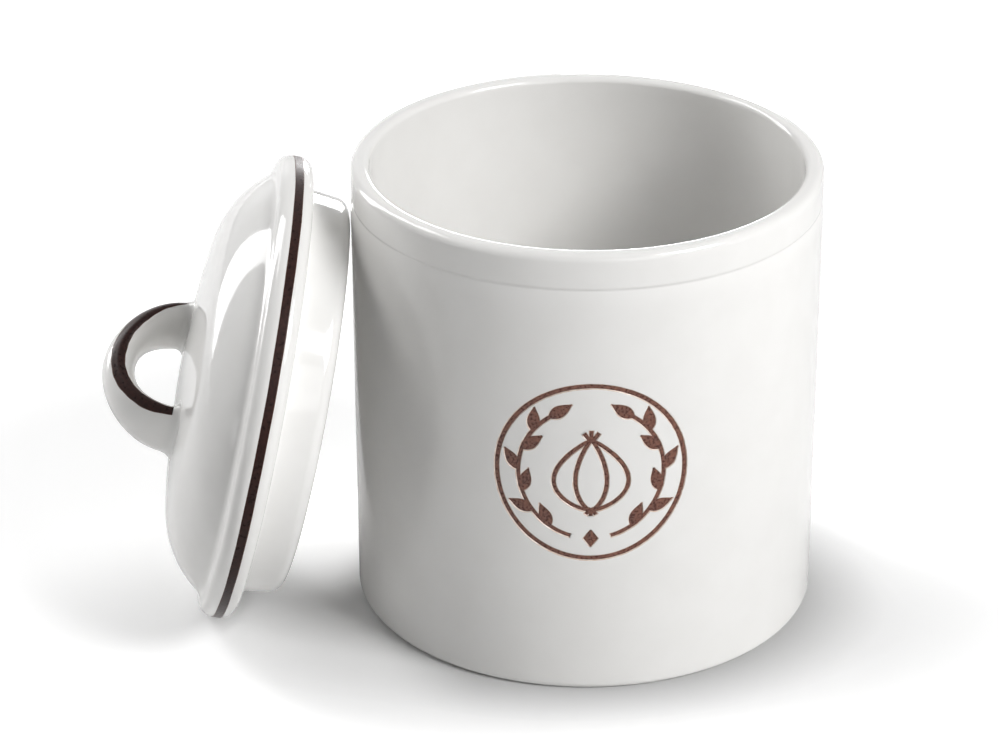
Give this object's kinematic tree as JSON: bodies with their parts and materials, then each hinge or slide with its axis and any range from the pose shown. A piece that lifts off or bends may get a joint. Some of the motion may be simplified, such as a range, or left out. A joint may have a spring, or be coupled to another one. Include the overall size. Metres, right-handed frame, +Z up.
{
  "type": "onion storage jar",
  "caption": "Straight-sided glazed stoneware jar with a domed, strap-handled lid that leans off against its wall, and an inlaid round badge on the front.",
  "frame": {"origin": "centre of the jar's flat base, on the surface that it stands on", "axes": "+Z up along the jar's axis, -Y out of the front through the middle of the badge, -X towards the side where the lid leans"},
  "size_m": [0.2687, 0.1852, 0.175],
  "materials": {
    "white_glaze": "glossy, slightly warm white glaze",
    "brown_slip": "satin brown slip in a shallow recess",
    "dark_line": "glossy, nearly black brown line under the glaze"
  },
  "bodies": {
    "jar": {"jar_body": "white_glaze", "badge_ring": "brown_slip", "badge_spray_left": "brown_slip", "badge_spray_right": "brown_slip", "badge_bulb": "brown_slip", "badge_lozenge": "brown_slip"},
    "lid": {"lid_shell": "white_glaze", "lid_handle": "white_glaze", "lid_rim_line": "dark_line", "handle_line_near": "dark_line", "handle_line_far": "dark_line"}
  },
  "joints": [
    {"name": "lid_pull", "type": "slide", "parent": "jar", "child": "lid", "axis": [-0.9745, -0.046, 0.2198], "range_m": [0, 0.12]}
  ]
}
